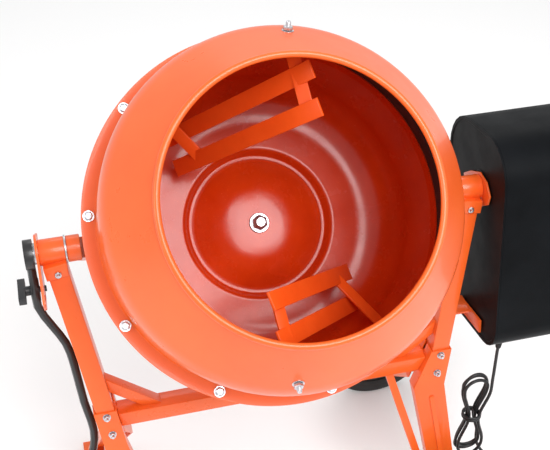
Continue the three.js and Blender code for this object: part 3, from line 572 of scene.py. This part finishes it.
def makePlug():
    low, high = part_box("plug")
    top = high[2] / mm
    x, y = (low[0] + high[0]) / 2, (low[1] + high[1]) / 2
    grip = [(5.4, -1.2), (6, -3)]
    for i in range(5):
        grow, drop = i * 0.9, 3.2 * i
        grip += [(6.2 + grow, -4 - drop), (7.0 + grow, -5 - drop), (6.4 + grow, -6.2 - drop)]
    shell = [(13, -22), (17, -26), (18.6, -30), (19, -34), (19, -47), (18.4, -49.4), (16, -50)]
    body = turned("plugBody", [(4.2, 0), (5, -0.3)] + grip + shell, 48, closed=False, pole=True)
    pinOutline = [(2.4, -48), (2.4, -65), (2.0, -67.4), (1.2, -68.6), (0.4, -69)]
    pins = []
    for hand in (-1, 1):
        pin = turned("pin", pinOutline, 20, closed=False, pole=True)
        pins.append(settle(pin, Matrix.Translation((hand * 9.5 * mm, 0, 0))))
    place = Matrix.Translation((x, y, top * mm))
    collar = turned("collar", [(15, -49.5), (15, -51), (13.5, -51.4), (13.5, -49.5)], 40)
    return settle(joined("plug_body", [body, collar]), place), settle(joined("plug_pins", pins), place)


def makeStrainRelief():
    low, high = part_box("strain_relief")
    x, y, top = (low[0] + high[0]) / 2, (low[1] + high[1]) / 2, high[2]
    outline = [(3.7, 0), (6, 0), (6, -9.8), (10, -9.8), (10, -15.5), (9.4, -16.4), (8.6, -17)]
    for i in range(6):
        size = 8.2 - 0.55 * i
        outline += [(size, -18 - 4.4 * i), (size, -20.2 - 4.4 * i), (size - 1.3, -20.8 - 4.4 * i),
                    (size - 1.3, -22.0 - 4.4 * i)]
    outline += [(5, -44.6), (4.6, -46), (3.7, -46)]
    return settle(turned("cable_gland", outline, 36), Matrix.Translation((x, y, top)))


cordCurve = lineCurve("mains_cord", cordLine(), lead["diameter"] / 2 * mm)
cordCurve.data.bevel_resolution = 4
tie = dress(makeTie(), cordSkin, "stand")
plugBody, plugPins = makePlug()
dress(plugBody, rubber, "stand", ["plug"])
dress(plugPins, zinc, "stand")
dress(makeStrainRelief(), rubber, "stand", ["strain_relief"])
cordCurve.data.materials.append(cordSkin)
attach(cordCurve, "stand")
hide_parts("cord_lead", "cord_hank", "cord_tail")
print("mains lead ready")


# drum, worked in its own directions with Z towards the mouth

drum = {
    "sides": 144, "sheet": 2.2, "flange": 300, "joint": 35, "skin": 277, "shoulder": 168, "bead": 201.4,
    "beadAt": 275, "beadWire": 5.2, "spigot": 271.5, "spigotTop": 50, "sealTop": 80, "crease": 246,
    "creaseAt": -32, "floor": -91, "step": 128, "hole": 114, "stepDepth": 16, "rim": 123, "domeRise": 21,
    "bolts": 10, "boltCircle": 288.5, "firstBolt": 99.6,
}


def bend(points, corner, radius, steps=5):
    # swaps one corner of an open line for an arc of that reach
    a, b, c = (Vector(points[corner + k]) for k in (-1, 0, 1))
    p = b + (a - b).normalized() * radius
    q = b + (c - b).normalized() * radius
    curve = [tuple(p.lerp(b, t).lerp(b.lerp(q, t), t)) for t in (i / steps for i in range(steps + 1))]
    return points[:corner] + curve + points[corner + 1:]


def sheetOf(path, thickness):
    # the other face of a sheet, that much to the left of the path, run back to close the outline
    line = [Vector(p) for p in path]
    lefts = []
    for a, b in zip(line, line[1:]):
        d = (b - a).normalized()
        lefts.append(Vector((-d.y, d.x)))
    far = []
    for i, p in enumerate(line):
        a, b = lefts[max(i - 1, 0)], lefts[min(i, len(lefts) - 1)]
        far.append(tuple(p + (a + b) * (thickness / (1 + a.dot(b)))))
    return path + far[::-1]


def makeUpperDrum():
    d = drum
    base = d["joint"] + 0.4
    top = base + d["sheet"]
    flange = [(d["skin"] - 1.8, base), (d["flange"] - 0.7, base), (d["flange"], base + 0.6),
              (d["flange"], base + 1.6), (d["flange"] - 0.7, top), (d["skin"] + 4.5, top),
              (d["skin"] + 1.6, top + 1), (d["skin"] + 0.2, top + 4), (d["skin"] - 1.8, top + 5)]
    corners = [(d["skin"], base), (d["skin"], d["shoulder"]), (d["bead"] + 2.6, d["beadAt"] - 2)]
    skinPath = bend(corners, 1, 26, 12)
    skin = turned("upperSkin", sheetOf(skinPath, d["sheet"]), d["sides"])
    lip = turned("lip", arc(d["bead"], d["beadAt"], d["beadWire"], 0, 345, 23), d["sides"])
    edge = turned("flangeRing", flange, d["sides"])
    return settle(joined("drum_upper_shell", [skin, lip, edge]), drumPlace)


def makeLowerDrum():
    d = drum
    inner = [(d["hole"], d["floor"] - d["stepDepth"]), (d["hole"] + 7, d["floor"] - d["stepDepth"]),
             (d["step"] + 1, d["floor"] - 2.2), (d["step"] + 6, d["floor"] - 2.2)]
    inner = bend(bend(inner, 2, 3.5, 3), 1, 3.5, 3)
    bowl = arc(d["crease"] - 76, d["floor"] + 76, 78.2, 270, 346, 26)
    wall = [(d["crease"] + 2, d["creaseAt"] + 12), (d["spigot"] - 1, d["joint"] - 12),
            (d["spigot"], d["joint"] - 6), (d["spigot"], d["spigotTop"])]
    shell = turned("lowerSkin", sheetOf(inner + bowl + wall, d["sheet"]), d["sides"])
    low = d["joint"] - d["sheet"]
    edge = turned("lowerFlange", [
        (d["spigot"] - 0.6, low), (d["flange"] - 0.7, low), (d["flange"], low + 0.7),
        (d["flange"], d["joint"] - 0.5), (d["flange"] - 0.5, d["joint"]), (d["spigot"] - 0.6, d["joint"]),
    ], d["sides"])
    return settle(joined("drum_lower_shell", [shell, edge]), drumPlace)


def makeSeal():
    d = drum
    inner, outer = d["spigot"] + 0.3, d["skin"] - d["sheet"] - 0.3
    top = d["sealTop"]
    seal = turned("drum_seal_ring", [
        (inner, d["joint"] + 1), (outer, d["joint"] + 1), (outer, top - 1), (outer - 0.5, top),
        (inner - 0.6, top), (inner - 1.2, top - 1.2), (inner - 1.2, d["spigotTop"] + 1),
        (inner, d["spigotTop"] + 0.4)], d["sides"])
    return settle(seal, drumPlace)


def makeBasePlate():
    d = drum
    rim = d["floor"] - d["stepDepth"] - 0.3 - d["sheet"]
    span = d["hole"] - 4 - 34
    dome = []
    for i in range(25):
        share = i / 24
        ripple = 0.22 * math.sin(share * 3 * math.pi) ** 2
        rise = d["domeRise"] * math.sin(share * math.pi / 2)
        dome.append((d["hole"] - 4 - span * share, rim + rise - ripple))
    path = [(d["rim"], rim)] + dome + [(30, rim + d["domeRise"] + 0.4), (8.4, rim + d["domeRise"] + 0.4)]
    plate = turned("base_dish", sheetOf(path[::-1], d["sheet"]), 112)
    return settle(plate, drumPlace)


def hexHead(name, across, height):
    # a chamfered hexagon head standing on its washer, its seat at z = 0
    deselectAll()
    bpy.ops.mesh.primitive_cylinder_add(vertices=6, radius=across / math.sqrt(3) * mm, depth=height * mm,
                                        location=(0, 0, (height / 2 + 1.4) * mm))
    head = settle(bpy.context.object)
    deselectAll()
    middle = height + 1.4 + 0.06 * across - across * 0.31 + 1.6
    bpy.ops.mesh.primitive_cone_add(vertices=40, radius1=across * 1.28 * mm, radius2=0,
                                    depth=across * 0.62 * mm, location=(0, 0, middle * mm))
    cone = settle(bpy.context.object)
    modify(head, "BOOLEAN", object=cone, operation="INTERSECT", solver="EXACT")
    discard(cone)
    roundEdges(head, 0.25, 2, 25)
    outline = [(0.3, 0), (0.68, 0), (0.7, 0.3), (0.7, 1.1), (0.68, 1.4), (0.3, 1.4)]
    washer = turned("washer", [(across * r, t) for r, t in outline], 32)
    return smooth(joined(name, [head, washer]), 28)


def nutWithStud(name, across, height, stud):
    nut = hexHead("nut", across, height)
    thread = [(across * 0.3, height)]
    pitch = 1.25
    for i in range(int(stud / pitch)):
        foot = height + 1.4 + pitch * i
        thread += [(across * 0.3, foot), (across * 0.265, height + 1.4 + pitch * (i + 0.5))]
    thread += [(across * 0.24, height + 1.6 + stud), (across * 0.1, height + 1.8 + stud)]
    end = turned("thread", thread, 24, closed=False, pole=True)
    return joined(name, [nut, end])


def scattered(name, master, places):
    parts = [settle(copied(master, place)) for place in places]
    discard(master)
    return joined(name, parts)


def outward(point, direction):
    # a place whose Z runs along direction, standing at the point
    z = direction.normalized()
    side = across if abs(z.x) < 0.9 else Vector((0, 1, 0))
    x = (side - z * side.dot(z)).normalized()
    return Matrix.Translation(point) @ Matrix((x, z.cross(x), z)).transposed().to_4x4()


def makeFlangeBolts():
    d = drum
    top = d["joint"] + 0.4 + d["sheet"]
    heads = []
    for i in range(d["bolts"]):
        a = math.radians(d["firstBolt"] + i * 360 / d["bolts"])
        x, y = d["boltCircle"] * math.cos(a), d["boltCircle"] * math.sin(a)
        heads.append(drumPlace @ outward(v(x, y, top), Vector((0, 0, 1))) @ Matrix.Rotation(1.3 * i, 4, "Z"))
    return scattered("flange_bolts", hexHead("flangeBolt", 13, 5.3), heads)


shoulder = {"at": 198, "angles": (8, 188), "slope": 34.3, "radius": 253.4}


def makeShoulderBolts():
    places = []
    slope = math.radians(shoulder["slope"])
    for angle in shoulder["angles"]:
        a = math.radians(angle)
        out = Vector((math.sin(a) * math.cos(slope), math.cos(a) * math.cos(slope), math.sin(slope)))
        reach = shoulder["radius"]
        foot = Vector((math.sin(a) * reach, math.cos(a) * reach, shoulder["at"])) * mm
        places.append(drumPlace @ outward(foot + out * 2.0 * mm, out))
    return scattered("shoulder_bolts", nutWithStud("shoulderNut", 13, 6.5, 7), places)


blade = {
    "width": 28, "thick": 4, "strut": 21, "innerNear": (59, 132, 220), "innerFar": (-131, 107, -45),
    "outerNear": (56, 188, 222), "outerFar": (-138, 157, -43),
    "nearAngle": 8, "nearAt": 198, "nearReach": 249, "farAngle": -38, "farAt": 4, "farReach": 254,
}


def makeBlade(name, turn):
    b = blade
    flat = Vector((0.25, -0.97, 0))
    along = {}
    parts = []
    for row in ("inner", "outer"):
        near, far = v(*b[row + "Near"]), v(*b[row + "Far"])
        parts.append(flatBar(row, near, far, flat, b["width"], b["thick"], 0.7))
        along[row] = (near, far)
    for place in ("near", "far"):
        a, t = math.radians(b[place + "Angle"]), b[place + "At"] * mm
        near, far = along["inner"]
        foot = near.lerp(far, (t - near.z) / (far.z - near.z))
        reach = b[place + "Reach"] * mm
        top = Vector((math.sin(a) * reach, math.cos(a) * reach, t))
        run = (foot - top).normalized()
        back = (far - near).cross(flat).normalized()
        back *= -b["thick"] * mm if back.z > 0 else b["thick"] * mm
        strutSide = Vector((0.82, 0.1, 0.5))
        end = foot + back + run * 5 * mm
        parts.append(flatBar("strut", top, end, strutSide, b["strut"], b["thick"], 0.7))
    return settle(joined(name, parts), drumPlace @ Matrix.Rotation(turn, 4, "Z"))


def makeHubNut():
    d = drum
    seat = d["floor"] - d["stepDepth"] - 0.3 - d["sheet"] + d["domeRise"] + d["sheet"] + 0.5
    plate = turned("hubWasher", [(8.3, 0), (17, 0), (17.4, 0.4), (17.4, 2.4), (16.6, 3), (8.3, 3)], 48)
    nut = nutWithStud("hubHex", 24, 10, 4)
    settle(nut, Matrix.Translation((0, 0, 2.6 * mm)))
    return settle(joined("hub_nut_finished", [plate, nut]), drumPlace @ Matrix.Translation((0, 0, seat * mm)))


dress(makeUpperDrum(), orangePaint, "drum", ["drum_upper"])
# the lower shell takes the orange paint darkened as painted shade for the drum's inside
dress(makeLowerDrum(), shadedDrumPaint, "drum", ["drum_lower"])
dress(makeSeal(), rubber, "drum", ["drum_seal"])
# the base plate also takes the paint darkened as painted shade
dress(makeBasePlate(), shadedDrumPaint, "drum", ["base_plate"])
dress(makeFlangeBolts(), zinc, "drum")
dress(makeShoulderBolts(), zinc, "drum")
dress(makeBlade("blade_first", 0), bladePaint, "drum", ["blade_a"])
dress(makeBlade("blade_second", math.pi), bladePaint, "drum", ["blade_b"])
dress(makeHubNut(), zinc, "drum", ["hub_nut"])
print("drum ready")


# yoke, with its boss and pivot sleeves

yoke = {"tube": 34, "corner": 6, "armX": 308.5, "behind": 158}


def makeYoke():
    y = yoke
    a = y["armX"]
    side = [(a, -14), (a - 0.5, -20), (a - 5, -56), (a - 19, -98), (a - 58, -134), (a - 138, -154),
            (60, -y["behind"])]
    line = side + [(-x, t) for x, t in side[::-1]]
    section = roundedSection("yokeSection", y["tube"] - 0.4, y["tube"] - 0.4, y["corner"])
    tube = meshOf(lineCurve("yokeTube", through([v(x, 0, t) for x, t in line], 6), section=section))
    discard(section)
    boss = turned("yokeBoss", [(26.3, -126), (34.6, -126), (36, -127.4), (36, -188.6), (34.6, -190),
                               (26.3, -190)], 64)
    sleeveOutline = [(17.3, 303.6), (20, 303.6), (21, 304.6), (21, 324.4), (20, 325.4), (17.3, 325.4)]
    parts = [settle(tube, drumPlace), settle(boss, drumPlace)]
    for hand in (-1, 1):
        sleeve = turned("sleeve", sleeveOutline, 56)
        turn = ontoX if hand > 0 else Matrix.Rotation(math.pi, 4, "Z") @ ontoX
        parts.append(settle(sleeve, machinePlace @ turn))
    return joined("yoke_finished", parts)


dress(makeYoke(), orangePaint, "cradle", ["yoke"])
print("yoke ready")

wheel = {"rim": 80, "outer": 115, "half": 20, "groove": 2.6, "ribs": 8, "hubRadius": 20, "sides": 96}


def mirrorOutline(half):
    return half + [(r, -t) for r, t in half[::-1]]


def onWheel(piece, node):
    # from turned about Z onto the axle of that wheel
    low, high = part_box(node)
    centre = [(a + b) / 2 for a, b in zip(low, high)]
    return settle(piece, Matrix.Translation(centre) @ Matrix.Rotation(math.radians(90), 4, "X"))


def makeTyre(node):
    w = wheel
    r, h, g = w["outer"], w["half"], w["groove"]
    bead = [(0.3, 3.4), (3, 0.8), (6, 0), (9, 0.9), (11, 0.9), (14, 0), (19, 0)]
    wall = [(9, 1), (4, 3.6), (1.4, 7), (0.5, 10), (0.5 + g, 10.4), (0.5 + g, 12), (0.2, 12.4)]
    side = [(w["rim"] + out, t - h) for out, t in bead] + [(r - drop, t - h) for drop, t in wall]
    tread = [(r, -3), (r - g, -2.6), (r - g, -1)]
    tyre = turned("tyre", mirrorOutline(side + tread), w["sides"])
    return onWheel(tyre, node)


def makeHub(node):
    w = wheel
    h = w["half"]
    boss, rim = w["hubRadius"], w["rim"]
    outline = [(8.5, -h + 1), (boss - 1.5, -h + 1), (boss, -h + 2.5), (boss + 1, -6), (boss + 3, -4),
               (rim - 11, -4), (rim - 8.5, -5.2), (rim - 7, -h + 7.5), (rim - 5.5, -h + 6),
               (rim - 0.8, -h + 6), (rim, -h + 6.8)]
    parts = [turned("hubBody", mirrorOutline(outline), w["sides"])]
    length = w["rim"] - 9 - w["hubRadius"]
    for i in range(w["ribs"]):
        rib = block("rib", (length, 5, 2 * h - 18), 1)
        out = Matrix.Translation(((w["hubRadius"] + length / 2) * mm, 0, 0))
        parts.append(settle(rib, Matrix.Rotation(math.tau * i / w["ribs"], 4, "Z") @ out))
    return onWheel(joined("hub", parts), node)


for side in ("front", "rear"):
    wheelBody, tyreNode, hubNode = side + "_wheel", side + "_tyre", side + "_wheel_hub"
    tyre = dress(makeTyre(tyreNode), tyreRubber, wheelBody, [tyreNode])
    tyre.name = side + "_tyre_treaded"
    hub = dress(makeHub(hubNode), blackPlastic, wheelBody, [hubNode])
    hub.name = side + "_hub_ribbed"
print("wheels ready")

housing = {"lean": 9.9, "rim": 6, "press": 1.3, "round": 10, "panelX": 389.5, "louvres": 6}
housingPlace = machinePlace @ Matrix.Rotation(math.radians(-housing["lean"]), 4, "X")


def makePanel():
    # the inner wall of the housing, pressed in behind a raised rim
    panel = fromNode("housing_back_plate", 0)
    selectPart(panel, "FACE", lambda face: face.normal.x < -0.9)
    bpy.ops.mesh.inset(thickness=housing["rim"] * mm, depth=0)
    bpy.ops.mesh.inset(thickness=1.5 * mm, depth=-housing["press"] * mm)
    leaveEdit(panel)
    return smooth(roundEdges(panel, 0.3, 2, 50), 35)


def makeCover():
    cover = fromNode("motor_cover", 0)
    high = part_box("motor_cover")[1]
    edgeX = high[0] - 1e-4
    selectPart(cover, "EDGE", lambda edge: all(vert.co.x > edgeX for vert in edge.verts))
    bpy.ops.mesh.bevel(offset=housing["round"] * mm, segments=6, affect="EDGES", clamp_overlap=True)
    leaveEdit(cover)
    return smooth(cover, 35)


def makeLouvres():
    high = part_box("motor_cover")[1]
    face = (high[0] - pivot.x) / mm
    parts = []
    for i in range(housing["louvres"]):
        slat = block("louvre", (5, 96, 7), 2)
        tilt = Matrix.Rotation(math.radians(28), 4, "Y")
        parts.append(settle(slat, housingPlace @ Matrix.Translation(v(face - 0.6, 20, -150 - 15 * i)) @ tilt))
    return joined("cover_louvres", parts)


dress(makePanel(), blackPaint, "stand", ["housing_back_plate"])
dress(makeCover(), blackPaint, "stand", ["motor_cover"])
dress(makeLouvres(), blackPaint, "stand")
print("housing ready")

# bolt places from the tilt axis, in mm; the post's faces lean by this much
fixings = {
    "lean": 0.151, "splay": 0.1427, "postX": 348, "legSeat": 28.4, "postSeat": 25.5, "postBolt": -27,
    "legBolts": (-316, -354),
}


def makeFrameBolts():
    # down the middle of each post, on the front, and through both legs where they clasp it
    f = fixings
    frontFace = Vector((0, -1, f["lean"])).normalized()
    spots = [(f["postBolt"], f["postSeat"], (frontFace,))]
    spots += [(z, f["legSeat"], (frontFace, -frontFace)) for z in f["legBolts"]]
    places = []
    for side in (-1, 1):
        for z, seat, faces in spots:
            middle = v(side * (f["postX"] + z * f["splay"]), z * f["lean"], z)
            for face in faces:
                places.append(machinePlace @ outward(middle + face * seat * mm, face))
    return scattered("frame_bolts", nutWithStud("frameBolt", 10, 5, 3.5), places)


legRib = {
    "bend": -379, "legFace": 28.3, "out": 0.125, "top": -398, "bottom": -585,
    "runs": {(1, -1): 0.33, (1, 1): 1.0, (-1, -1): 0.33, (-1, 1): 0.75}, "inset": {1: -9, -1: 0},
}


def legPlace(side, face, z):
    # a point on the outer face of a leg, down the middle of its width
    g = legRib
    bent, upright = min(0, z - g["bend"]), max(z, g["bend"])
    run = g["runs"][(side, face)]
    x = side * (fixings["postX"] + upright * fixings["splay"] - bent * g["out"] + g["inset"][side])
    return v(x, upright * fixings["lean"] + face * (g["legFace"] - bent * run), z)


def makeLegRibs():
    # a long pressed ridge down each leg, narrowing to its ends
    parts = []
    for side, face in legRib["runs"]:
        start, end = legPlace(side, face, legRib["top"]), legPlace(side, face, legRib["bottom"])
        rib = block("rib", (9, 5, (end - start).length / mm), 0.4)
        selectPart(rib, "FACE", lambda item: abs(item.normal.z) > 0.9)
        bpy.ops.transform.resize(value=(0.25, 0.4, 1), center_override=(0, 0, 0))
        leaveEdit(rib)
        modify(rib, "SUBSURF", levels=2, render_levels=2)
        parts.append(settle(smooth(rib, 60), machinePlace @ aim(start, end, across)))
    return joined("leg_ribs", parts)


def makePanelScrews():
    face = housing["panelX"]
    places = []
    for a, b in ((112, 32), (119, -110), (96, -268), (-24, -272), (-78, -150), (-74, 20), (6, 86)):
        places.append(housingPlace @ outward(v(face, a, b), Vector((-1, 0, 0))))
    return scattered("panel_screws", hexHead("panelScrew", 7, 2.6), places)


def makeDriveBolts():
    plateX = (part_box("drive_mount_plate")[0][0] - pivot.x) / mm
    places = [machinePlace @ outward(v(plateX, y, z), Vector((-1, 0, 0))) for y, z in ((-6, -24), (34, -12))]
    places.append(housingPlace @ outward(v(housing["panelX"] + 1, -4, -218), Vector((-1, 0, 0))))
    return scattered("drive_bolts", nutWithStud("driveBolt", 12, 6, 5), places)


dress(makeFrameBolts(), zinc, "stand")
dress(makeLegRibs(), orangePaint, "stand")
dress(makePanelScrews(), zinc, "stand")
dress(makeDriveBolts(), zinc, "stand")
print("fixings ready")

plain = {
    "zinc": (zinc, "bright_steel"), "steel": (brightSteel, "bright_steel"),
    "orange": (orangePaint, "orange_paint"), "iron": (castIron, "cast_iron"),
    "plastic": (blackPlastic, "black_plastic"), "rubber": (rubber, "black_rubber"),
    "bar": (blackBar, "black_steel"), "sheet": (blackPaint, "black_plastic"), "tyre": (tyreRubber, "tyre"),
    "green": (greenCap, "green_plastic"), "red": (redCap, "red_plastic"),
}
# node, body, finish, edge in mm
rounded = [
    ("left_post", "stand", "orange", 3.5), ("right_post", "stand", "orange", 3.5),
    ("crossbar", "stand", "orange", 3),
    ("left_gusset", "stand", "orange", 1.2), ("right_gusset", "stand", "orange", 1.2),
    ("left_pivot_sleeve", "stand", "orange", 1), ("right_pivot_sleeve", "stand", "orange", 1),
    ("drive_mount_plate", "stand", "orange", 0.8), ("front_left_leg", "stand", "orange", 1.6),
    ("rear_left_leg", "stand", "orange", 1.6), ("front_right_leg", "stand", "orange", 1.6),
    ("rear_right_leg", "stand", "orange", 1.6), ("leg_brace", "stand", "orange", 1.2),
    ("housing_strap", "stand", "orange", 0.8), ("lock_quadrant", "stand", "orange", 0.6),
    ("tilt_lever", "cradle", "bar", 0.6), ("lever_grip", "cradle", "rubber", 3),
    ("lock_knob", "lock_knob", "plastic", 2),
    ("left_trunnion", "cradle", "steel", 1), ("right_trunnion", "cradle", "steel", 1),
    ("left_pivot_washer", "cradle", "zinc", 0.4), ("right_pivot_washer", "cradle", "zinc", 0.4),
    ("front_bearing", "cradle", "steel", 0.5), ("rear_bearing", "cradle", "steel", 0.5),
    ("drum_axle", "drum", "steel", 0.6), ("axle_nut", "drum", "zinc", 1), ("ring_gear", "drum", "iron", 0.4),
    ("drive_pinion", "drive_shaft", "iron", 0.4), ("drive_shaft", "drive_shaft", "steel", 0.8),
    ("drive_pulley", "drive_shaft", "iron", 0.5), ("motor_pulley", "motor_rotor", "steel", 0.4),
    ("motor", "stand", "iron", 2), ("drive_belt", "stand", "rubber", 0.6),
    ("front_wheel_axle", "stand", "zinc", 1), ("rear_wheel_axle", "stand", "zinc", 1),
    ("front_axle_cap", "stand", "zinc", 1.5), ("rear_axle_cap", "stand", "zinc", 1.5),
    ("switch_box", "stand", "plastic", 2.5), ("start_button", "start_button", "green", 1.2),
    ("stop_button", "stop_button", "red", 1.2),
]
for node, body, kind, edge in rounded:
    material, slot = plain[kind]
    dress(fromNode(node, edge), material, body, [node])
print("stand and drive ready")
